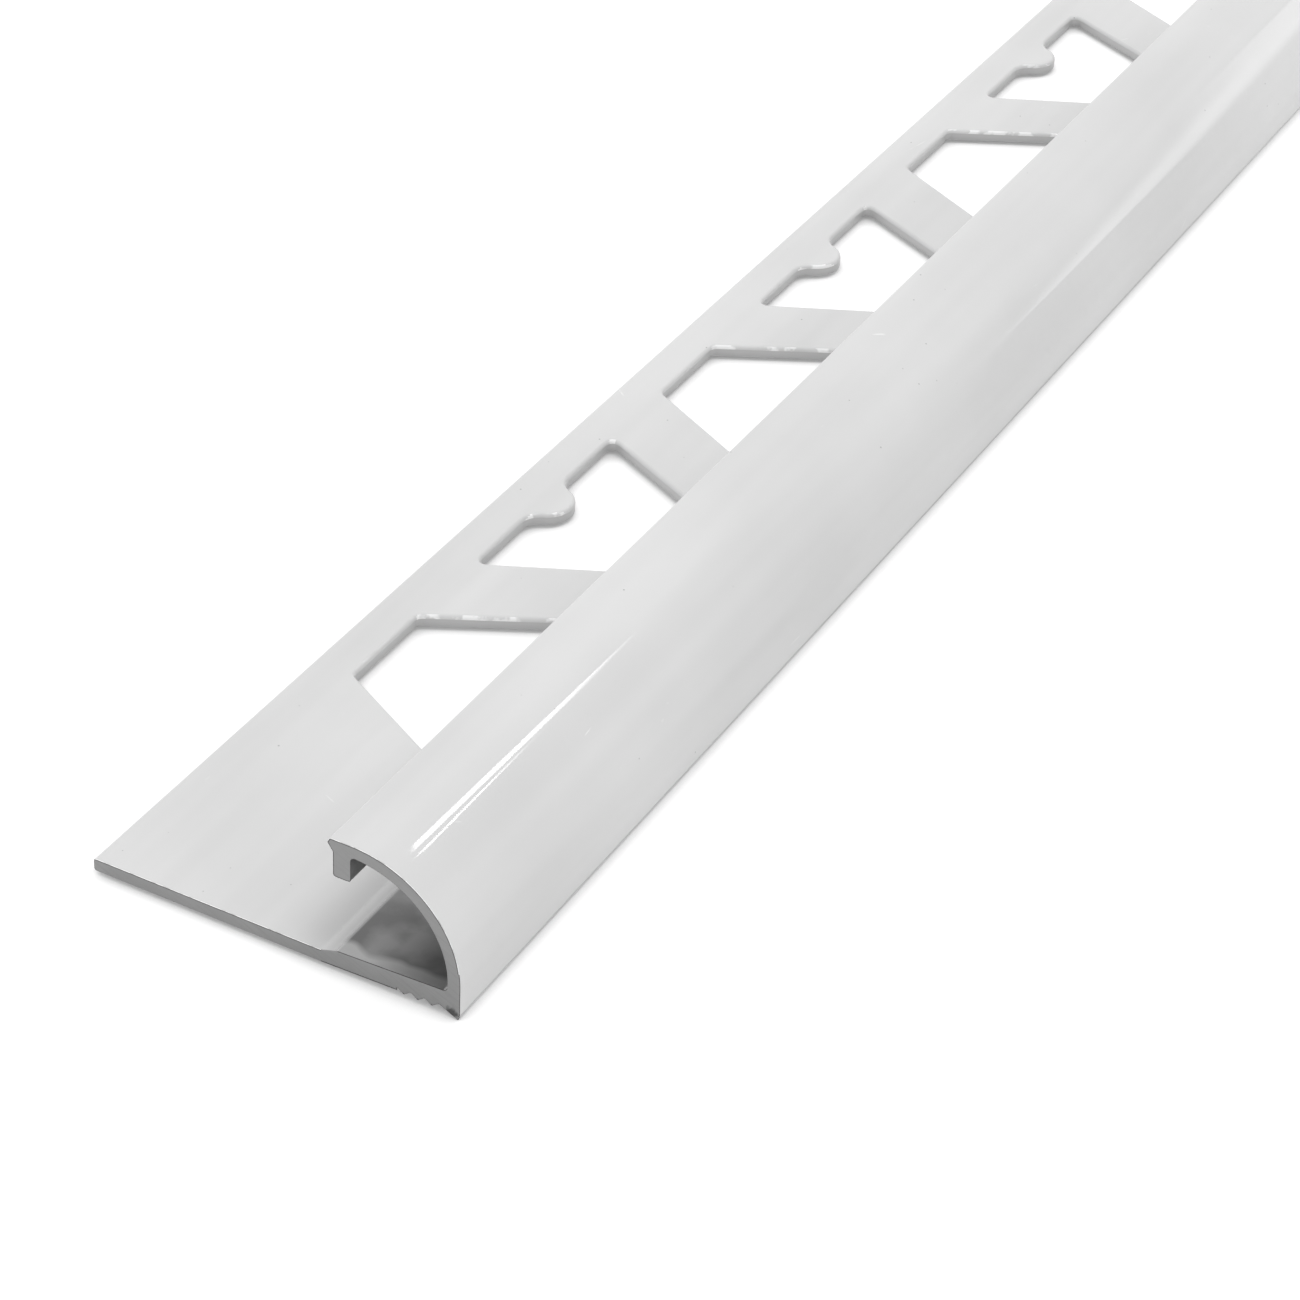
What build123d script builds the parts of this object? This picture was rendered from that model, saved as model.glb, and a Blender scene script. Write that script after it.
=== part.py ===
from build123d import *
import os

# Round-edge tile trim: one length of extruded aluminium with a punched anchoring leg.
# Frame: +X runs along the length, +Y points to the free edge of the leg, +Z is up.
# The origin is under the middle of the length and width, level with the drip edge.

# The stock as sold
length = 1000.0
width = 27.1
height = 10.0

# Anchoring leg, which lies in the adhesive under the tile
leg_thickness = 0.95
leg_edge_radius = 0.2
root_thickness = 1.35
root_reach = 0.9
root_ramp = 1.2
root_ramp_radius = 0.8
root_under_rise = 0.15
channel_floor_rise = 0.3

# Quarter-round nose
nose_radius = 7.8
nose_wall = 0.9
channel_corner_radius = 0.35

# Lug that the tile butts against, and the lip that covers the tile's edge
lug_depth = 2.85
lug_thickness = 1.3
lug_corner_radius = 0.25
lug_root_radius = 0.3
lip_overhang = 0.4
lip_thickness = 0.95
lip_tip_drop = 0.35
lip_shoulder = 0.2
lip_tip_radius = 0.12

# Keys and the drip edge under the nose
key_count = 3
key_pitch = 1.0
key_depth = 0.4
drip_depth = 0.3
drip_run = 1.5
drip_flat = 0.12

# Punched holes: the wide side points in on one and out on the next
hole_pitch = 22.0
first_hole = 29.85
end_land = 5.0
hole_margin = 3.1
hole_root_land = 0.6
hole_corner_radius = 0.6
splayed_hole_outer_side = 8.3
splayed_hole_inner_side = 23.2
tabbed_hole_outer_side = 20.1
tabbed_hole_inner_side = 6.5

# Round tab on the outer side of every second hole
tab_radius = 2.2
tab_foot_radius = 1.6

os.makedirs("parts", exist_ok=True)

# Places across the section, worked out from the sizes above
leg_edge_y = width / 2
face_y = -width / 2
leg_under_z = drip_depth
leg_top_z = leg_under_z + leg_thickness
root_top_z = leg_under_z + root_thickness
crest_z = leg_under_z + height
arc_y = face_y + nose_radius
arc_z = crest_z - nose_radius
ceiling_z = crest_z - nose_wall
inner_radius = nose_radius - nose_wall
inner_face_y = face_y + nose_wall
floor_end_z = root_top_z + channel_floor_rise
lug_inner_y = arc_y
lug_outer_y = lug_inner_y + lug_thickness
lug_bottom_z = crest_z - lug_depth
lip_tip_y = lug_outer_y + lip_overhang
lip_tip_z = crest_z - lip_tip_drop
ramp_top_y = lug_outer_y + root_reach
ramp_foot_y = ramp_top_y - root_ramp
key_root_z = leg_under_z + key_depth
drip_tip_y = face_y + drip_flat
drip_root_y = face_y + drip_run
key_end_y = drip_root_y + key_count * key_pitch
root_under_z = leg_under_z + root_under_rise

# Places along the leg
hole_outer_y = leg_edge_y - hole_margin
hole_depth = hole_outer_y - hole_root_land - ramp_top_y
widest_hole = max(splayed_hole_inner_side, tabbed_hole_outer_side)
pattern_room = length - first_hole - widest_hole / 2 - end_land
hole_count = int(pattern_room // hole_pitch) + 1
hole_places = [(first_hole - length / 2 + n * hole_pitch, hole_outer_y) for n in range(hole_count)]
punch_top_z = (root_top_z + lug_bottom_z) / 2

# Hole that widens towards the nose, drawn from the middle of its outer side
with BuildSketch() as splayed_hole:
    with BuildLine():
        Polyline(
            (-splayed_hole_outer_side / 2, 0),
            (splayed_hole_outer_side / 2, 0),
            (splayed_hole_inner_side / 2, -hole_depth),
            (-splayed_hole_inner_side / 2, -hole_depth),
            close=True,
        )
    make_face()
    fillet(splayed_hole.vertices(), hole_corner_radius)

# Hole that narrows towards the nose, with the round tab left standing on its outer side
with BuildSketch() as tabbed_hole:
    with BuildLine():
        Polyline(
            (-tabbed_hole_outer_side / 2, 0),
            (tabbed_hole_outer_side / 2, 0),
            (tabbed_hole_inner_side / 2, -hole_depth),
            (-tabbed_hole_inner_side / 2, -hole_depth),
            close=True,
        )
    make_face()
    fillet(tabbed_hole.vertices(), hole_corner_radius)
    Circle(tab_radius, mode=Mode.SUBTRACT)
    tab_feet = [tabbed_hole.vertices().sort_by_distance((side * tab_radius, 0))[0] for side in (-1, 1)]
    fillet(tab_feet, tab_foot_radius)

# The extruded and punched profile
with BuildPart() as trim_profile:
    with BuildSketch(Plane.YZ.offset(-length / 2)) as section:
        with BuildLine():
            # Leg and root: along the top and down the channel's floor, back along the keys
            Line((leg_edge_y, leg_under_z), (leg_edge_y, leg_top_z))
            Line((leg_edge_y, leg_top_z), (ramp_top_y, leg_top_z))
            Line((ramp_top_y, leg_top_z), (ramp_foot_y, root_top_z))
            Line((ramp_foot_y, root_top_z), (inner_face_y, floor_end_z))
            Line((inner_face_y, floor_end_z), (drip_tip_y, 0))
            Line((drip_tip_y, 0), (drip_root_y, key_root_z))
            for key in range(key_count):
                root_y = drip_root_y + key * key_pitch
                tip_y = root_y + key_pitch / 2
                Line((root_y, key_root_z), (tip_y, leg_under_z))
                Line((tip_y, leg_under_z), (root_y + key_pitch, key_root_z))
            Line((key_end_y, key_root_z), (key_end_y, root_under_z))
            Line((key_end_y, root_under_z), (ramp_top_y, leg_under_z))
            Line((ramp_top_y, leg_under_z), (leg_edge_y, leg_under_z))
        make_face()
        with BuildLine():
            # Nose: from inside the root up the channel's wall and round to the lug
            Line((inner_face_y, key_root_z), (inner_face_y, arc_z))
            CenterArc((arc_y, arc_z), inner_radius, 180, -90)
            # Lug and lip
            Line((lug_inner_y, ceiling_z), (lug_inner_y, lug_bottom_z))
            Line((lug_inner_y, lug_bottom_z), (lug_outer_y, lug_bottom_z))
            Line((lug_outer_y, lug_bottom_z), (lug_outer_y, crest_z - lip_thickness))
            Line((lug_outer_y, crest_z - lip_thickness), (lip_tip_y, lip_tip_z))
            Line((lip_tip_y, lip_tip_z), (lip_tip_y - lip_shoulder, crest_z))
            Line((lip_tip_y - lip_shoulder, crest_z), (arc_y, crest_z))
            # Visible face, down to the drip edge
            CenterArc((arc_y, arc_z), nose_radius, 90, 90)
            Line((face_y, arc_z), (face_y, leg_under_z))
            Line((face_y, leg_under_z), (drip_tip_y, 0))
            Line((drip_tip_y, 0), (inner_face_y, key_root_z))
        make_face()
        corner_radii = [
            (leg_edge_y, leg_under_z, leg_edge_radius),
            (leg_edge_y, leg_top_z, leg_edge_radius),
            (ramp_foot_y, root_top_z, root_ramp_radius),
            (ramp_top_y, leg_top_z, root_ramp_radius),
            (inner_face_y, floor_end_z, channel_corner_radius),
            (lug_inner_y, ceiling_z, lug_root_radius),
            (lug_inner_y, lug_bottom_z, lug_corner_radius),
            (lug_outer_y, lug_bottom_z, lug_corner_radius),
            (lip_tip_y, lip_tip_z, lip_tip_radius),
            (lip_tip_y - lip_shoulder, crest_z, lip_tip_radius),
        ]
        for corner_y, corner_z, radius in corner_radii:
            fillet(section.vertices().sort_by_distance((corner_y, corner_z))[0], radius)
    extrude(amount=length)
    with BuildSketch():
        with Locations(*hole_places[0::2]):
            add(splayed_hole.sketch)
        with Locations(*hole_places[1::2]):
            add(tabbed_hole.sketch)
    extrude(amount=punch_top_z, mode=Mode.SUBTRACT)

trim_profile.part.label = "trim_profile"
export_step(trim_profile.part, "parts/trim_profile.step")
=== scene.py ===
from math import asin, cos, hypot, pi, radians, sin, sqrt, tan

import bmesh
import bpy
from mathutils import Matrix, Vector


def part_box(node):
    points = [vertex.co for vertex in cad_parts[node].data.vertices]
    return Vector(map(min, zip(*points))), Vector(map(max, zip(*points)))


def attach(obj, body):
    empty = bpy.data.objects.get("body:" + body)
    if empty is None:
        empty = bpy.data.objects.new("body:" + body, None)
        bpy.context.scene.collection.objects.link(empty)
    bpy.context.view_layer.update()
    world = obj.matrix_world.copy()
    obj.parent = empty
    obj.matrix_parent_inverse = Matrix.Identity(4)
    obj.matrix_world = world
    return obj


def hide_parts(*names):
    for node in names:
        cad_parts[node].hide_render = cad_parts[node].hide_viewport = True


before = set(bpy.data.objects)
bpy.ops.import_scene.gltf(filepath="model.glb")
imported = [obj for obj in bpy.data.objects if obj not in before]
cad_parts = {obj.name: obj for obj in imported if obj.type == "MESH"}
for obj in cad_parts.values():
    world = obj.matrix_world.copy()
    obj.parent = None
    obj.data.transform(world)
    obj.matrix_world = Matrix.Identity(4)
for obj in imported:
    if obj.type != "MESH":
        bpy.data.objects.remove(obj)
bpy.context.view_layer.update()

mm = 0.001
trimLow, trimHigh = [[value / mm for value in corner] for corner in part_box("trim_profile")]

# What a user would change on the extruded profile, in millimetres
profile = {
    "legThickness": 0.95, "legEdgeRadius": 0.2,
    "rootThickness": 1.35, "rootReach": 0.9, "rootRamp": 1.2, "rootRampRadius": 0.8, "rootUnderRise": 0.15,
    "floorRise": 0.3, "floorCornerRadius": 0.35,
    "noseRadius": 7.8, "noseWall": 0.9, "noseSteps": 32,
    "lugDepth": 2.85, "lugThickness": 1.3, "lugCornerRadius": 0.25, "lugRootRadius": 0.3,
    "lipOverhang": 0.4, "lipThickness": 0.95, "lipTipDrop": 0.35, "lipShoulder": 0.2, "lipTipRadius": 0.12,
    "keyCount": 3, "keyPitch": 1.0, "keyDepth": 0.4, "keyRadius": 0.13, "keyEndRadius": 0.05,
    "dripDepth": 0.3, "dripRun": 1.5, "dripFlat": 0.12,
    "dieLineWidth": 0.1, "dieLineDepth": 0.05,  # a fine scored line just above the drip edge
    "roundSteps": 6,
    "coatRound": 0.035,  # the sawn edge of the coat, drawn over by the blade: a thin pale line
    "burrShadeWidth": 0.06,  # the line inside it, along the saw's burr, coloured dark as painted shade
    "sharpAngle": 35, "flatWeight": 90,  # degrees and share, for smooth shading that keeps the flats flat
}

faceY, legEdgeY = trimLow[1], trimHigh[1]
nearX, farX = trimLow[0], trimHigh[0]
crestZ = trimHigh[2]
legUnderZ = profile["dripDepth"]
legTopZ = legUnderZ + profile["legThickness"]
rootTopZ = legUnderZ + profile["rootThickness"]
arcY = faceY + profile["noseRadius"]
arcZ = crestZ - profile["noseRadius"]
innerRadius = profile["noseRadius"] - profile["noseWall"]
innerFaceY = faceY + profile["noseWall"]
ceilingZ = crestZ - profile["noseWall"]
lugOuterY = arcY + profile["lugThickness"]
lugBottomZ = crestZ - profile["lugDepth"]
rampTopY = lugOuterY + profile["rootReach"]
rampFootY = rampTopY - profile["rootRamp"]


def drawSection(bm):
    # one flat face across the near end, drawn corner by corner and then rounded
    outline, rounded = [], []

    def corner(y, z, radius=0):
        vertex = bm.verts.new((nearX, y, z))
        outline.append(vertex)
        if radius:
            rounded.append((vertex, radius))

    def arc(turn):
        spinOn(bm, outline, (nearX, arcY, arcZ), (1, 0, 0), turn, profile["noseSteps"])

    corner(legEdgeY, legUnderZ, profile["legEdgeRadius"])
    corner(legEdgeY, legTopZ, profile["legEdgeRadius"])
    corner(rampTopY, legTopZ, profile["rootRampRadius"])
    corner(rampFootY, rootTopZ, profile["rootRampRadius"])
    corner(innerFaceY, rootTopZ + profile["floorRise"], profile["floorCornerRadius"])
    corner(innerFaceY, arcZ)
    arc(-pi / 2)
    rounded.append((outline[-1], profile["lugRootRadius"]))
    corner(arcY, lugBottomZ, profile["lugCornerRadius"])
    corner(lugOuterY, lugBottomZ, profile["lugCornerRadius"])
    corner(lugOuterY, crestZ - profile["lipThickness"], profile["lugCornerRadius"])
    lipTipY = lugOuterY + profile["lipOverhang"]
    corner(lipTipY, crestZ - profile["lipTipDrop"], profile["lipTipRadius"])
    corner(lipTipY - profile["lipShoulder"], crestZ, profile["lipTipRadius"])
    corner(arcY, crestZ)
    arc(pi / 2)
    corner(faceY, legUnderZ + profile["dieLineWidth"])
    corner(faceY + profile["dieLineDepth"], legUnderZ + profile["dieLineWidth"] / 2)
    corner(faceY, legUnderZ)
    corner(faceY + profile["dripFlat"], trimLow[2])
    keyRootZ = legUnderZ + profile["keyDepth"]
    keyY = faceY + profile["dripRun"]
    corner(keyY, keyRootZ, profile["keyRadius"])
    for key in range(1, profile["keyCount"] + 1):
        corner(keyY + profile["keyPitch"] / 2, legUnderZ, profile["keyRadius"])
        keyY += profile["keyPitch"]
        corner(keyY, keyRootZ, profile["keyEndRadius" if key == profile["keyCount"] else "keyRadius"])
    corner(keyY, legUnderZ + profile["rootUnderRise"])
    corner(rampTopY, legUnderZ)
    bm.faces.new(outline)
    for vertex, radius in rounded:
        roundCorner(bm, vertex, radius, profile["roundSteps"])


def spinOn(bm, outline, centre, axis, turn, steps):
    # carries an outline on from its last point, round a centre
    before = len(bm.verts)
    bmesh.ops.spin(bm, geom=[outline[-1]], cent=centre, axis=axis, angle=turn, steps=steps)
    bm.verts.ensure_lookup_table()
    outline.extend(bm.verts[before:])


def roundCorner(bm, vertex, radius, steps):
    # the bevel's offset runs along the edges, so it is worked out from the corner's angle
    first, second = [edge.other_vert(vertex).co - vertex.co for edge in vertex.link_edges]
    bmesh.ops.bevel(bm, geom=[vertex], affect="VERTICES", offset=radius / tan(first.angle(second) / 2),
                    segments=steps, profile=0.5, material=-1)


def growFaces(bm, move):
    # draws every face out along the move, into a closed solid
    grown = bmesh.ops.extrude_face_region(bm, geom=bm.faces[:])
    moved = [item for item in grown["geom"] if isinstance(item, bmesh.types.BMVert)]
    bmesh.ops.translate(bm, vec=move, verts=moved)
    bmesh.ops.recalc_face_normals(bm, faces=bm.faces[:])


def meshObject(name, bm):
    mesh = bpy.data.meshes.new(name)
    bm.to_mesh(mesh)
    bm.free()
    made = bpy.data.objects.new(name, mesh)
    bpy.context.scene.collection.objects.link(made)
    return made


# What a user would change on the punched holes, in millimetres
punch = {
    "pitch": 22.0, "first": 29.85, "endLand": 5.0, "margin": 3.1, "rootLand": 0.6,
    "cornerRadius": 0.6, "cornerSteps": 6,
    "splayedOuter": 8.3, "splayedInner": 23.2,
    "tabbedOuter": 20.1, "tabbedInner": 6.5,
    "tabRadius": 2.2, "tabFootRadius": 1.6, "tabSteps": 18, "footSteps": 8,
    "rolledEdge": 0.3, "rolledSteps": 4,  # the punch draws the top edge in
    "brokenEdge": 0.06,  # and leaves the lower edge nearly sharp
    "start": 1.0,  # how far below the part the plugs begin
}

holeOuterY = legEdgeY - punch["margin"]
holeDepth = holeOuterY - punch["rootLand"] - rampTopY
punchTopZ = (rootTopZ + lugBottomZ) / 2


def drawHole(bm, x, outerSide, innerSide, tabbed):
    # a flat face under the leg: a trapezoid, with the round tab left out of it
    z = trimLow[2] - punch["start"]
    outline, corners = [], []

    def corner(dx, dy):
        outline.append(bm.verts.new((x + dx, holeOuterY + dy, z)))
        corners.append(outline[-1])

    def arc(dx, dy, turn, steps):
        spinOn(bm, outline, (x + dx, holeOuterY + dy, z), (0, 0, 1), turn, steps)

    corner(-outerSide / 2, 0)
    if tabbed:
        foot, tab = punch["tabFootRadius"], punch["tabRadius"]
        footX = sqrt((tab + foot) ** 2 - foot ** 2)
        lean = asin(foot / (tab + foot))
        outline.append(bm.verts.new((x - footX, holeOuterY, z)))
        arc(-footX, -foot, lean - pi / 2, punch["footSteps"])
        arc(0, 0, pi - 2 * lean, punch["tabSteps"])
        arc(footX, -foot, lean - pi / 2, punch["footSteps"])
    corner(outerSide / 2, 0)
    corner(innerSide / 2, -holeDepth)
    corner(-innerSide / 2, -holeDepth)
    bm.faces.new(outline)
    for vertex in corners:
        roundCorner(bm, vertex, punch["cornerRadius"], punch["cornerSteps"])


def makePunches():
    # every hole's plug, as one mesh to cut with
    bm = bmesh.new()
    widest = max(punch["splayedInner"], punch["tabbedOuter"])
    room = farX - nearX - punch["first"] - widest / 2 - punch["endLand"]
    for number in range(int(room // punch["pitch"]) + 1):
        x = nearX + punch["first"] + number * punch["pitch"]
        if number % 2 == 0:
            drawHole(bm, x, punch["splayedOuter"], punch["splayedInner"], False)
        else:
            drawHole(bm, x, punch["tabbedOuter"], punch["tabbedInner"], True)
    growFaces(bm, (0, 0, punchTopZ + punch["start"]))
    return meshObject("punches", bm)


def cutHoles(body, punches):
    # takes the plugs out of the body, and returns the cut body as a new bmesh
    cut = body.modifiers.new("punched", "BOOLEAN")
    cut.operation = "DIFFERENCE"
    cut.solver = "EXACT"
    cut.object = punches
    bpy.context.view_layer.update()
    shown = body.evaluated_get(bpy.context.evaluated_depsgraph_get())
    bm = bmesh.new()
    bm.from_mesh(shown.to_mesh())
    shown.to_mesh_clear()
    for used in (body, punches):
        mesh = used.data
        bpy.data.objects.remove(used)
        bpy.data.meshes.remove(mesh)
    return bm


# How far each part of the surface reaches past the place that it is told by, in millimetres
reach = {
    "level": 0.001, "touch": 0.01, "skin": 0.02, "beside": 0.1,
    "lugBack": 0.36, "lugFoot": 0.2, "ceilingEnd": 0.35, "rimTop": 0.005,
    "coatStart": 1.0, "burrShadeEnd": 1.1, "burrShadeFace": 0.15, "burrShadeFloor": 0.03, "burrShadeKeys": 0.5,
    "keyStart": 1.0, "keyTip": 0.22,
}

# How squarely a face looks along an axis: 1 is straight along it, and 0 is across it
facing = {"along": 0.99, "across": 0.01, "turned": 0.1, "upward": 0.5, "towardsNearEnd": -0.3}


def fromNearestEnd(face):
    x = face.calc_center_median().x
    return min(abs(x - nearX), abs(x - farX))


def isEnd(face):
    return abs(face.normal.x) > facing["along"] and fromNearestEnd(face) < reach["touch"]


def isEndRound(face):
    # the narrow rounding between an end and the faces along the trim
    turned = facing["turned"] < abs(face.normal.x) < facing["along"]
    return turned and fromNearestEnd(face) < profile["coatRound"]


def isPunched(face):
    # the upright walls of the holes
    y = face.calc_center_median().y
    inReach = holeOuterY - holeDepth - reach["beside"] < y < holeOuterY + reach["beside"]
    return inReach and abs(face.normal.z) < facing["across"] and not isEnd(face)


def isGlintRim(face):
    # the rolled rim on the far side of a splayed hole, where it faces the near end: it gets painted glints
    middle = face.calc_center_median()
    rolled = legTopZ - punch["rolledEdge"] < middle.z < legTopZ - reach["rimTop"]
    onLeg = rampTopY < middle.y < holeOuterY + reach["beside"]
    return rolled and onLeg and face.normal.x < facing["towardsNearEnd"] and face.normal.y < 0


def isLugBack(face):
    # the lug's side towards the channel, with the corner above it
    middle = face.calc_center_median()
    onBack = abs(middle.y - arcY) < reach["lugBack"]
    onHeight = lugBottomZ + reach["lugFoot"] < middle.z < ceilingZ + reach["touch"]
    return onBack and onHeight and not isEnd(face)


def isInside(face):
    # the ramp, floor and wall of the channel in the nose, where the powder hardly reaches
    middle = face.calc_center_median()
    if isEnd(face) or middle.z < legTopZ + reach["level"]:
        return False
    lookingUp = face.normal.z > facing["upward"]
    onFloor = lookingUp and middle.z < arcZ and middle.y < rampTopY - reach["skin"]
    fromArc = hypot(middle.y - arcY, middle.z - arcZ)
    inArc = fromArc < innerRadius + reach["skin"] and middle.y < arcY - reach["ceilingEnd"]
    onWall = abs(middle.y - innerFaceY) < reach["skin"]
    return onFloor or inArc or onWall


def isCoatedSide(middle, depth):
    # whether this spot at a sawn end lies within this depth of powder: on the nose, the lip, the lug's
    # front and foot, and the top of the leg
    onNose = middle.y < arcY + reach["touch"] and middle.z > arcZ + reach["coatStart"]
    nose = onNose and hypot(middle.y - arcY, middle.z - arcZ) > profile["noseRadius"] - depth
    lugFront = middle.z > lugBottomZ - reach["touch"] and middle.y > lugOuterY - depth
    onLug = middle.y > arcY - reach["touch"]
    lugFoot = onLug and lugBottomZ - reach["touch"] < middle.z < lugBottomZ + depth
    legTop = middle.y > rampTopY and middle.z > legTopZ - depth
    return nose or middle.z > crestZ - depth or lugFront or lugFoot or legTop


def hasBurrShade(middle):
    # the burr's painted shade also runs down the lower face, along the channel's floor and on the keys
    lowerFace = middle.y < faceY + reach["burrShadeFace"] and middle.z <= arcZ + reach["burrShadeEnd"]
    floor = middle.z > rootTopZ - reach["burrShadeFloor"] and innerFaceY < middle.y < rampFootY
    keys = middle.y < rampFootY and middle.z < rootTopZ - reach["burrShadeKeys"]
    return lowerFace or floor or keys


def bevelEdges(bm, edges, width, steps):
    bmesh.ops.bevel(bm, geom=edges, affect="EDGES", offset=width, segments=steps, profile=0.5, material=-1,
                    clamp_overlap=True)
    bm.normal_update()


def rollEdges(bm, z, width, steps):
    # rounds the rims of the holes at one height
    rims = []
    for edge in bm.edges:
        atHeight = all(abs(vertex.co.z - z) < reach["level"] for vertex in edge.verts)
        if atHeight and len(edge.link_faces) == 2 and any(isPunched(face) for face in edge.link_faces):
            rims.append(edge)
    bevelEdges(bm, rims, width, steps)


def roundEnds(bm, width):
    rims = [edge for edge in bm.edges if sum(isEnd(face) for face in edge.link_faces) == 1]
    bevelEdges(bm, rims, width, 2)


def ringInside(bm, faces, width):
    # a narrow strip just inside the outline of these faces
    ring = bmesh.ops.inset_region(bm, faces=faces, thickness=width, use_even_offset=True, use_boundary=True)
    bm.normal_update()
    return ring["faces"]


def materialFor(face):
    # the name of the material that this face of the trim gets
    if isEndRound(face):
        middle = face.calc_center_median()
        if isCoatedSide(middle, profile["coatRound"] + reach["touch"]):
            return "coatEdge"
        return "burrShade" if hasBurrShade(middle) else "sawnEnd"
    tests = {"sawnEnd": isEnd, "punchedWall": isPunched, "glintRim": isGlintRim,
             "channel": isInside, "lugBackShade": isLugBack}
    for name, belongs in tests.items():
        if belongs(face):
            return name
    return "coat"


def makeTrim(materials):
    bm = bmesh.new()
    drawSection(bm)
    growFaces(bm, (farX - nearX, 0, 0))
    body = meshObject("extrudedBody", bm)
    print("section extruded:", len(body.data.vertices), "vertices")
    bm = cutHoles(body, makePunches())
    bm.normal_update()
    rollEdges(bm, legTopZ, punch["rolledEdge"], punch["rolledSteps"])
    rollEdges(bm, legUnderZ, punch["brokenEdge"], 1)
    roundEnds(bm, profile["coatRound"])
    burrShadeRing = ringInside(bm, [face for face in bm.faces if isEnd(face)], profile["burrShadeWidth"])
    order = list(materials)
    for face in bm.faces:
        face.smooth = True
        face.material_index = order.index(materialFor(face))
    # the ring inside each end takes the burr's painted shade on the coated sides and at the key tips
    burrShadeDepth = profile["coatRound"] + profile["burrShadeWidth"] + reach["touch"]
    for face in burrShadeRing:
        middle = face.calc_center_median()
        onKeys = faceY + reach["keyStart"] < middle.y < rampFootY
        onKeyTip = onKeys and middle.z < legUnderZ + reach["keyTip"]
        if onKeyTip or isCoatedSide(middle, burrShadeDepth):
            face.material_index = order.index("burrShade")
    bmesh.ops.scale(bm, vec=(mm, mm, mm), verts=bm.verts[:])
    trim = meshObject("roundEdgeTrim", bm)
    for material in materials.values():
        trim.data.materials.append(material)
    trim.data.set_sharp_from_angle(angle=radians(profile["sharpAngle"]))
    evenNormals = trim.modifiers.new("evenNormals", "WEIGHTED_NORMAL")
    evenNormals.keep_sharp = True
    evenNormals.weight = profile["flatWeight"]
    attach(trim, "root")
    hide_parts("trim_profile")
    print("trim made:", len(trim.data.polygons), "faces")


def hexColour(code):
    channels = [int(code[start:start + 2], 16) / 255 for start in (1, 3, 5)]
    return [c / 12.92 if c <= 0.04045 else ((c + 0.055) / 1.055) ** 2.4 for c in channels] + [1]


def addNode(tree, kind, settings):
    # a setting goes to the node itself if it has one of that name, and otherwise to its socket of that name
    # or number: another node's output is linked to it, and a hex code is made a linear colour
    node = tree.nodes.new(kind)
    for name, value in settings.items():
        if isinstance(name, str) and hasattr(node, name):
            setattr(node, name, value)
        elif isinstance(value, bpy.types.NodeSocket):
            tree.links.new(value, node.inputs[name])
        else:
            node.inputs[name].default_value = hexColour(value) if isinstance(value, str) else value
    return node


def calculate(tree, operation, *values):
    # one sum on numbers or other nodes' outputs
    return addNode(tree, "ShaderNodeMath", {"operation": operation, **dict(enumerate(values))}).outputs[0]


def ramp(tree, value, low, high, lowTo=0.0, highTo=1.0, kind="LINEAR"):
    # goes from one number to another while the value goes from low to high
    made = addNode(tree, "ShaderNodeMapRange", {"interpolation_type": kind, "Value": value, "From Min": low,
                                                "From Max": high, "To Min": lowTo, "To Max": highTo})
    return made.outputs["Result"]


def blend(tree, share, first, second):
    # the first colour where the share is 0, and the second where it is 1
    return addNode(tree, "ShaderNodeMix", {"data_type": "RGBA", 0: share, 6: first, 7: second}).outputs[2]


def axesOf(tree, place):
    return addNode(tree, "ShaderNodeSeparateXYZ", {"Vector": place}).outputs


def stretch(tree, place, scale=(1.0, 1.0, 1.0), turn=(0.0, 0.0, 0.0)):
    # a scale below 1 draws the pattern out along that axis
    made = addNode(tree, "ShaderNodeMapping", {"Scale": scale, "Rotation": turn, "Vector": place})
    return made.outputs["Vector"]


def clouds(tree, place, size, detail=2.0):
    # soft blobs of about this size in millimetres
    made = addNode(tree, "ShaderNodeTexNoise", {"Scale": 1 / (size * mm), "Detail": detail, "Vector": place})
    return made.outputs["Fac"]


def cells(tree, place, size, measure="F1"):
    # distances in a scatter of cells of about this size in millimetres
    made = addNode(tree, "ShaderNodeTexVoronoi",
                   {"feature": measure, "Scale": 1 / (size * mm), "Vector": place})
    return made.outputs["Distance"]


def bumps(tree, height, depth, under=None):
    # a relief of this depth in millimetres, laid over another one where that is given
    made = addNode(tree, "ShaderNodeBump", {"Strength": 1.0, "Distance": depth * mm, "Height": height})
    if under is not None:
        tree.links.new(under, made.inputs["Normal"])
    return made.outputs["Normal"]


def roughnessOf(tree, share, f):
    return ramp(tree, share, 0.0, 1.0, f["roughness"], f["roughness"] + f["roughnessSpread"])


def shade(tree, settings):
    shader = addNode(tree, "ShaderNodeBsdfPrincipled", settings)
    addNode(tree, "ShaderNodeOutputMaterial", {"Surface": shader.outputs["BSDF"]})


def emptyTree(owner):
    owner.use_nodes = True
    owner.node_tree.nodes.clear()
    return owner.node_tree


def newMaterial(name):
    material = bpy.data.materials.new(name)
    tree = emptyTree(material)
    return material, tree, addNode(tree, "ShaderNodeTexCoord", {}).outputs["Object"]


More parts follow.
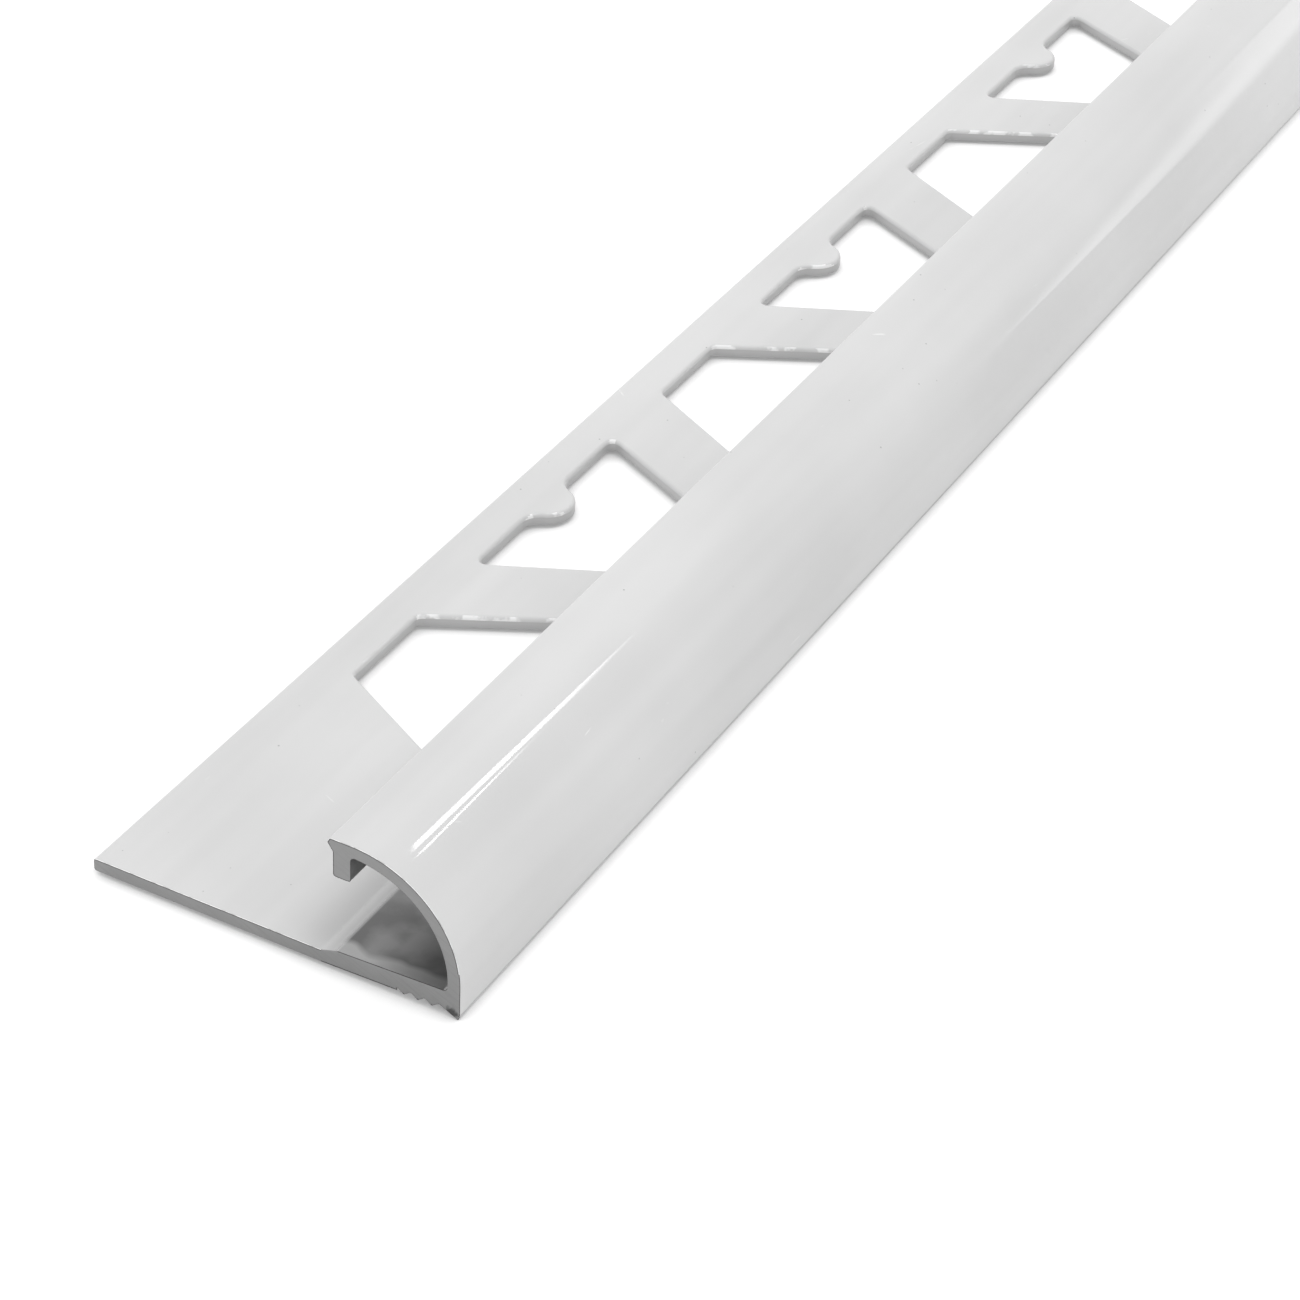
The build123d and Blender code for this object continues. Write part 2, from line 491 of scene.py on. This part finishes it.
# Polyester powder, sprayed and baked: a gloss white skin with faint streaks along the die and a few specks
coatFinish = {
    "colour": "#e2e2e2", "streak": "#d7d7d7", "speck": "#a8a8a8", "tipShade": "#b8b8b8", "scoredLineShade": "#c2c2c2",
    "scratch": "#f2f2f2", "scratchSpacing": 9, "scratchWidth": 0.035, "scratchPatch": 2.5,
    "scratchTurn": (0.3, 0.2, 0.5), "scratchDraw": 0.4, "scratchFrom": 0.66, "scratchTo": 0.74,
    "roughness": 0.016, "roughnessSpread": 0.01,
    "streakWidth": 4.0, "streakLength": 60, "streakFrom": 0.75, "streakTo": 1.25, "cloudSize": 22,
    "peelSize": 1.8, "peelHeight": 0.0002, "lineSpacing": 0.5, "lineLength": 60, "lineHeight": 0.00012,
    "speckSpacing": 2.2, "speckSize": 0.085, "speckCore": 0.4, "scoredLineShadeReach": 0.2,
}


def coatNodes(tree, place):
    # the coat's colour, roughness and normal, which the channel's edge fades into
    f = coatFinish
    drawnOut = stretch(tree, place, (f["streakWidth"] / f["streakLength"], 1.0, 1.0))
    streaks = clouds(tree, drawnOut, f["streakWidth"])
    wide = clouds(tree, place, f["cloudSize"], 3.0)
    both = calculate(tree, "ADD", streaks, wide)
    tone = blend(tree, ramp(tree, both, f["streakFrom"], f["streakTo"]), f["colour"], f["streak"])
    dots = cells(tree, place, f["speckSpacing"])
    dotEdge = f["speckSize"] / f["speckSpacing"]
    dusted = blend(tree, ramp(tree, dots, dotEdge, dotEdge * f["speckCore"]), tone, f["speck"])
    # a hairline scratch here and there: short stretches of the edges between wide cells
    leaning = stretch(tree, place, (f["scratchDraw"], 1.0, 1.0), f["scratchTurn"])
    seams = cells(tree, leaning, f["scratchSpacing"], "DISTANCE_TO_EDGE")
    hair = ramp(tree, seams, f["scratchWidth"] / f["scratchSpacing"], 0.0)
    some = ramp(tree, clouds(tree, place, f["scratchPatch"]), f["scratchFrom"], f["scratchTo"])
    marked = blend(tree, calculate(tree, "MULTIPLY", hair, some), dusted, f["scratch"])
    peel = bumps(tree, clouds(tree, place, f["peelSize"], 1.0), f["peelHeight"])
    alongDie = stretch(tree, place, (f["lineSpacing"] / f["lineLength"], 1.0, 1.0))
    relief = bumps(tree, clouds(tree, alongDie, f["lineSpacing"]), f["lineHeight"], peel)
    return marked, roughnessOf(tree, wide, f), relief


def makeCoat():
    material, tree, place = newMaterial("glossWhitePowderCoat")
    f = coatFinish
    colour, rough, normal = coatNodes(tree, place)
    axes = axesOf(tree, place)
    # painted shade makes the drip edge greyer towards its tip, where it stands on the floor
    tone = blend(tree, ramp(tree, axes["Z"], legUnderZ * mm, 0.0), colour, f["tipShade"])
    # painted shade darkens the scored line above it
    half = profile["dieLineWidth"] / 2
    atLine = calculate(tree, "COMPARE", axes["Z"], (legUnderZ + half) * mm, half * mm)
    onFace = calculate(tree, "LESS_THAN", axes["Y"], (faceY + f["scoredLineShadeReach"]) * mm)
    lined = blend(tree, calculate(tree, "MULTIPLY", atLine, onFace), tone, f["scoredLineShade"])
    shade(tree, {"IOR": 1.5, "Base Color": lined, "Roughness": rough, "Normal": normal})
    return material


# Painted glints: white patches on the rolled rims on the far side of the splayed holes, where they face the
# near end
rimFinish = {"wearAndGlint": "#ffffff", "patchSize": 1.5, "patchFrom": 0.47, "patchTo": 0.54, "roughness": 0.15}


def makeGlintRim():
    material, tree, place = newMaterial("rimPaintedGlints")
    f = rimFinish
    colour, _, normal = coatNodes(tree, place)
    some = ramp(tree, clouds(tree, place, f["patchSize"], 3.0), f["patchFrom"], f["patchTo"])
    tone = blend(tree, some, colour, f["wearAndGlint"])
    shade(tree, {"Roughness": f["roughness"], "Base Color": tone, "Normal": normal})
    return material


# The broken edge of the powder at the saw cut: matt, and whiter than the skin
edgeFinish = {"colour": "#ffffff", "wearAndGlint": "#c8c8c8", "roughness": 0.4, "grainSize": 0.15,
              "grainHeight": 0.004, "chipSize": 0.7, "chipFrom": 0.5, "chipTo": 0.62}


def makeCoatEdge():
    material, tree, place = newMaterial("sawnPowderCoatEdge")
    f = edgeFinish
    normal = bumps(tree, clouds(tree, place, f["grainSize"]), f["grainHeight"])
    chipped = ramp(tree, clouds(tree, place, f["chipSize"], 3.0), f["chipFrom"], f["chipTo"])
    tone = blend(tree, chipped, f["colour"], f["wearAndGlint"])
    shade(tree, {"Roughness": f["roughness"], "Base Color": tone, "Normal": normal})
    return material


# The saw's burr: a thin rolled-over line along the cut's outline, coloured darker than the cut as painted
# shade
burrShadeFinish = {"colour": "#303030", "light": "#787878", "roughness": 0.5, "patchSize": 0.35}


def makeBurrShade():
    material, tree, place = newMaterial("paintedBurrShade")
    f = burrShadeFinish
    tone = blend(tree, clouds(tree, place, f["patchSize"]), f["colour"], f["light"])
    shade(tree, {"Metallic": 1.0, "Roughness": f["roughness"], "Base Color": tone})
    return material


# Bare aluminium, cut by a circular saw: mid grey with faint slanting tooth marks, and painted shade in the
# corner by the drip edge
sawnFinish = {
    "colour": "#979797", "shine": "#9f9f9f", "scored": "#8a8a8a", "cornerShade": "#5c5c5c",
    "roughness": 0.44, "roughnessSpread": 0.08, "patchSize": 2.2,
    "markSpacing": 0.16, "markHeight": 0.0012, "markSlant": 64, "markDraw": 0.05,
    "markFrom": 0.5, "markTo": 0.85,
    "cornerShadePlace": (-500, -13.0, 0.42), "cornerShadeSize": 0.8, "cornerShadeGrain": 0.4,
    "cornerShadeFrom": 1.15, "cornerShadeTo": 0.75,  # as shares of its size
}


def makeSawnEnd():
    material, tree, place = newMaterial("sawnAluminium")
    f = sawnFinish
    turned = stretch(tree, place, turn=(radians(f["markSlant"]), 0.0, 0.0))
    marks = clouds(tree, stretch(tree, turned, (1.0, 1.0, f["markDraw"])), f["markSpacing"])
    patches = clouds(tree, place, f["patchSize"], 4.0)
    tone = blend(tree, patches, f["colour"], f["shine"])
    broken = calculate(tree, "MULTIPLY", ramp(tree, marks, f["markFrom"], f["markTo"]), patches)
    scored = blend(tree, broken, tone, f["scored"])
    # painted shade in the corner by the drip edge, with a ragged rim
    away = addNode(tree, "ShaderNodeVectorMath", {"operation": "DISTANCE", 0: place,
                                                  1: Vector(f["cornerShadePlace"]) * mm})
    size = f["cornerShadeSize"] * mm
    ragged = calculate(tree, "MULTIPLY_ADD", clouds(tree, place, f["cornerShadeGrain"], 3.0), size,
                       away.outputs["Value"])
    cornerShade = ramp(tree, ragged, size * f["cornerShadeFrom"], size * f["cornerShadeTo"])
    marked = blend(tree, cornerShade, scored, f["cornerShade"])
    shade(tree, {"Metallic": 1.0, "Base Color": marked, "Roughness": roughnessOf(tree, marks, f),
                 "Normal": bumps(tree, marks, f["markHeight"])})
    return material


# Punched through after rolling, then thinly coated: greyer than the faces, partly from the thin coat and
# partly as painted shade in the hole, with upright drag lines
wallFinish = {"colour": "#c6c6c6", "torn": "#b8b8b8", "tornFrom": 0.5, "roughness": 0.3,
              "dragSpacing": 0.12, "dragHeight": 0.005, "dragDraw": 0.05}


def makePunchedWall():
    material, tree, place = newMaterial("punchedThinCoatShaded")
    f = wallFinish
    tornZ = legUnderZ + f["tornFrom"] * profile["legThickness"]
    torn = ramp(tree, axesOf(tree, place)["Z"], tornZ * mm, legUnderZ * mm)
    drag = clouds(tree, stretch(tree, place, (1.0, 1.0, f["dragDraw"])), f["dragSpacing"], 1.0)
    shade(tree, {"Roughness": f["roughness"], "Base Color": blend(tree, torn, f["colour"], f["torn"]),
                 "Normal": bumps(tree, drag, f["dragHeight"])})
    return material


# Bare extruded aluminium in the channel: the coat greys on the ramp, partly thinner and partly as painted
# shade under the lip, and fades out at the foot of the ramp to the dull mill finish. Near each end the metal
# is darkened to a mottled grey as painted shade under the nose, and made paler at the cut as painted light
# from the open end
channelFinish = {
    "thinAndShaded": "#c6c6c6", "mill": "#bababa", "endShadeGrey": "#8c8c8c", "mottle": "#747474", "cutEndLight": "#b0b0b0",
    "roughness": 0.36, "roughnessSpread": 0.14,
    "bareFrom": 0.3, "fade": 0.4, "thinTo": 0.5,
    "mottleSize": 0.45, "mottleShare": 0.15, "patchSize": 2.4, "patchFrom": 0.35, "patchTo": 0.65,
    "endShadeReach": 5, "endShadeFade": 12,
    "endLightReach": 1.2, "endLightWander": 1.4, "endLightFade": 0.6,
}


def makeChannel():
    material, tree, place = newMaterial("bareExtrudedAluminium")
    f = channelFinish
    coat, coatRough, coatNormal = coatNodes(tree, place)
    axes = axesOf(tree, place)
    fromMiddle = calculate(tree, "ABSOLUTE", axes["X"])
    wide = clouds(tree, place, f["patchSize"], 1.0)
    fine = clouds(tree, place, f["mottleSize"], 3.0)
    clouded = calculate(tree, "MULTIPLY_ADD", fine, f["mottleShare"], wide)
    level = f["mottleShare"] / 2
    mottle = blend(tree, ramp(tree, clouded, f["patchFrom"] + level, f["patchTo"] + level),
                   f["endShadeGrey"], f["mottle"])
    # painted shade: near each end the metal is darkened to a mottled grey, as under the nose
    endShadeX = farX - f["endShadeReach"]
    endShade = ramp(tree, fromMiddle, (endShadeX - f["endShadeFade"]) * mm, endShadeX * mm)
    dull = blend(tree, endShade, f["mill"], mottle)
    # painted light: paler right at the cut, where light comes in at the open end
    ragged = calculate(tree, "MULTIPLY_ADD", wide, f["endLightWander"] * mm, fromMiddle)
    endLightX = farX - f["endLightReach"] + f["endLightWander"] / 2
    endLight = ramp(tree, ragged, endLightX * mm, (endLightX + f["endLightFade"]) * mm)
    metal = blend(tree, endLight, dull, f["cutEndLight"])
    bareY = rampFootY + f["bareFrom"]
    bare = ramp(tree, axes["Y"], bareY * mm, (bareY - f["fade"]) * mm)
    # the coat greys down the ramp, partly a thinner coat and partly painted shade under the lip
    thinningAndShade = ramp(tree, axes["Y"], rampTopY * mm, (rampFootY + f["thinTo"]) * mm)
    tone = blend(tree, bare, blend(tree, thinningAndShade, coat, f["thinAndShaded"]), metal)
    rough = addNode(tree, "ShaderNodeMix", {"data_type": "FLOAT", 0: bare, 2: coatRough,
                                            3: roughnessOf(tree, wide, f)})
    shade(tree, {"Base Color": tone, "Metallic": bare, "Roughness": rough.outputs[0], "Normal": coatNormal})
    return material


# The back of the lug, inside the channel: a dull grey, darker in patches, as painted shade
lugBackShadeFinish = {"colour": "#989898", "thinAndShaded": "#666666", "roughness": 0.6, "patchSize": 0.6}


def makeLugBackShade():
    material, tree, place = newMaterial("lugBackPaintedShade")
    f = lugBackShadeFinish
    tone = blend(tree, clouds(tree, place, f["patchSize"], 3.0), f["colour"], f["thinAndShaded"])
    shade(tree, {"Roughness": f["roughness"], "Base Color": tone})
    return material


# The camera stands low and close, off the near end, on the side of the nose. Places in millimetres.
cameraSetup = {"place": (-645.99, -99.39, 147.47), "aside": 26.95, "down": 35.17, "roll": 3.10,
               "lens": 101.55, "sensor": 36.0, "clipFrom": 10, "clipTo": 20000}


def makeCamera():
    s = cameraSetup
    data = bpy.data.cameras.new("studioCamera")
    data.lens = s["lens"]
    data.sensor_width = s["sensor"]
    data.clip_start = s["clipFrom"] * mm
    data.clip_end = s["clipTo"] * mm
    camera = bpy.data.objects.new("studioCamera", data)
    bpy.context.scene.collection.objects.link(camera)
    ahead = direction(s["aside"], -s["down"])
    turn = ahead.to_track_quat("-Z", "Y").to_matrix() @ Matrix.Rotation(radians(s["roll"]), 3, "Z")
    camera.matrix_world = Matrix.Translation(Vector(s["place"]) * mm) @ turn.to_4x4()
    bpy.context.scene.camera = camera


def direction(aside, up):
    # degrees from +X towards +Y, and degrees up
    aside, up = radians(aside), radians(up)
    return Vector((cos(up) * cos(aside), cos(up) * sin(aside), sin(up)))


# Light: an even pale surround, and flat lamps that the gloss shows as lines. Each lamp runs between two
# directions as seen from one spot of the trim: degrees from +X towards +Y, and degrees up. Its width is
# in degrees too, and ends at its "taper" share. A slanting edge may cut its start off. Glow 1 is as bright
# as white paper. The surround is brighter overhead and behind the leg, by the "tilt" along each axis.
lightRig = {
    "surround": 0.61, "tilt": (0.0, 0.17, 0.33), "distance": 4000,
    "lamps": {
        "softBox": {"seenFrom": (-400, 0, 1), "start": (-48, 66), "end": (-132, 66), "width": 20,
                    "taper": 1.0, "glow": 3.4, "edge": 0.1, "fade": 0.1},
        "windowPane": {"seenFrom": (-485, -8.9, 9.7), "start": (-10.7, 48.3), "end": (-15.2, 40.7),
                       "width": 3.6, "taper": 0.6, "glow": 8.5, "edge": 0.4, "fade": 0.4,
                       "cut": 0.163, "slant": 0.35},
        "secondPane": {"seenFrom": (-494, -9.4, 9.4), "start": (-19.4, 44.86), "end": (-17.2, 42.2),
                       "width": 1.8, "taper": 0.6, "glow": 8.0, "edge": 0.2, "fade": 0.6},
        "farPane": {"seenFrom": (-375, -11, 8.2), "start": (-34, 5.5), "end": (-18, 22),
                    "width": 8.5, "taper": 1.0, "glow": 1.2, "edge": 0.9, "fade": 0.1},
    },
}


def makeLamp(name, s):
    spot = Vector(s["seenFrom"]) * mm
    away = lightRig["distance"] * mm
    start, end = [spot + direction(*s[key]) * away for key in ("start", "end")]
    middle = (start + end) / 2
    outward = (middle - spot).normalized()
    along = (end - start).normalized()
    across = outward.cross(along)
    lamp = bpy.data.lights.new(name, "AREA")
    lamp.shape = "RECTANGLE"
    lamp.size = (end - start).length
    lamp.size_y = 2 * away * tan(radians(s["width"]) / 2)
    lamp.energy = s["glow"] * pi * lamp.size * lamp.size_y
    lampNodes(emptyTree(lamp), s)
    placed = bpy.data.objects.new(name, lamp)
    placed.matrix_world = Matrix.Translation(middle) @ Matrix((along, across, outward)).transposed().to_4x4()
    bpy.context.scene.collection.objects.link(placed)


def lampNodes(tree, s):
    # the lamp's face: soft at its sides and its far end, tapered, and cut off at its start
    onLamp = axesOf(tree, addNode(tree, "ShaderNodeNewGeometry", {}).outputs["Parametric"])
    fade = ramp(tree, onLamp["X"], 1.0, 1 - s["fade"], kind="SMOOTHSTEP")
    halfWidth = ramp(tree, onLamp["X"], 0.0, 1.0, 0.5, 0.5 * s["taper"])
    offset = calculate(tree, "SUBTRACT", onLamp["Y"], 0.5)
    slanted = calculate(tree, "MULTIPLY_ADD", offset, s.get("slant", 0), onLamp["X"])
    begun = calculate(tree, "GREATER_THAN", slanted, s.get("cut", -1))
    share = calculate(tree, "DIVIDE", calculate(tree, "ABSOLUTE", offset), halfWidth)
    inside = ramp(tree, share, 1.0, 1 - s["edge"], kind="SMOOTHSTEP")
    shown = calculate(tree, "MULTIPLY", calculate(tree, "MULTIPLY", fade, inside), begun)
    glow = addNode(tree, "ShaderNodeEmission", {"Strength": shown})
    addNode(tree, "ShaderNodeOutputLight", {"Surface": glow.outputs[0]})


def seenInMirror(tree, path):
    # 1 for what a mirror or glass sees
    return calculate(tree, "MAXIMUM", path["Is Glossy Ray"], path["Is Transmission Ray"])


def makeLights():
    # the camera, a mirror and glass see plain white, and the surround's own levels light the trim
    world = bpy.data.worlds.new("paleSurround")
    bpy.context.scene.world = world
    tree = emptyTree(world)
    path = addNode(tree, "ShaderNodeLightPath", {}).outputs
    seen = calculate(tree, "MAXIMUM", path["Is Camera Ray"], seenInMirror(tree, path))
    sky = addNode(tree, "ShaderNodeTexCoord", {})
    lean = addNode(tree, "ShaderNodeVectorMath", {"operation": "DOT_PRODUCT", 0: sky.outputs["Generated"],
                                                  1: lightRig["tilt"]})
    level = calculate(tree, "ADD", lean.outputs["Value"], lightRig["surround"])
    surround = addNode(tree, "ShaderNodeBackground", {"Color": "#ffffff", "Strength": level})
    white = addNode(tree, "ShaderNodeBackground", {"Color": "#ffffff", "Strength": 1.0})
    either = addNode(tree, "ShaderNodeMixShader", {0: seen, 1: surround.outputs[0], 2: white.outputs[0]})
    addNode(tree, "ShaderNodeOutputWorld", {"Surface": either.outputs[0]})
    for name, settings in lightRig["lamps"].items():
        makeLamp(name, settings)


# Floor: a matt white sheet. The camera sees it greyer and lifted back to plain white, but less so close to
# what stands on it, so that the shadow under the edges shows as it does on white paper.
floorSetup = {"colour": "#f2f2f2", "shownColour": "#c0c0c0", "cameraLift": 0.62, "mirrorLift": 0.12,
              "size": 12.0, "contactReach": 1.5, "contactFrom": 0.32, "contactTo": 0.88, "contactShare": 0.38,
              "contactSamples": 8}


def makeFloor():
    s = floorSetup
    bm = bmesh.new()
    bmesh.ops.create_grid(bm, x_segments=1, y_segments=1, size=s["size"] / 2)
    floor = meshObject("floor", bm)
    material = bpy.data.materials.new("whiteSheet")
    tree = emptyTree(material)
    path = addNode(tree, "ShaderNodeLightPath", {}).outputs
    tone = blend(tree, path["Is Camera Ray"], s["colour"], s["shownColour"])
    matt = addNode(tree, "ShaderNodeBsdfDiffuse", {"Color": tone})
    near = addNode(tree, "ShaderNodeAmbientOcclusion", {"samples": s["contactSamples"],
                                                        "Distance": s["contactReach"] * mm})
    contact = ramp(tree, near.outputs["AO"], s["contactFrom"], s["contactTo"],
                   s["cameraLift"] * s["contactShare"], s["cameraLift"], "SMOOTHSTEP")
    forCamera = calculate(tree, "MULTIPLY", path["Is Camera Ray"], contact)
    lift = calculate(tree, "MULTIPLY_ADD", seenInMirror(tree, path), s["mirrorLift"], forCamera)
    glow = addNode(tree, "ShaderNodeEmission", {"Strength": lift})
    total = addNode(tree, "ShaderNodeAddShader", {0: matt.outputs[0], 1: glow.outputs[0]})
    addNode(tree, "ShaderNodeOutputMaterial", {"Surface": total.outputs[0]})
    floor.data.materials.append(material)


makeCamera()
makeLights()
makeFloor()
print("studio ready")
makeTrim({
    "coat": makeCoat(),
    "coatEdge": makeCoatEdge(),
    "burrShade": makeBurrShade(),
    "sawnEnd": makeSawnEnd(),
    "punchedWall": makePunchedWall(),
    "glintRim": makeGlintRim(),
    "channel": makeChannel(),
    "lugBackShade": makeLugBackShade(),
})

bpy.context.scene.view_settings.view_transform = "Standard"
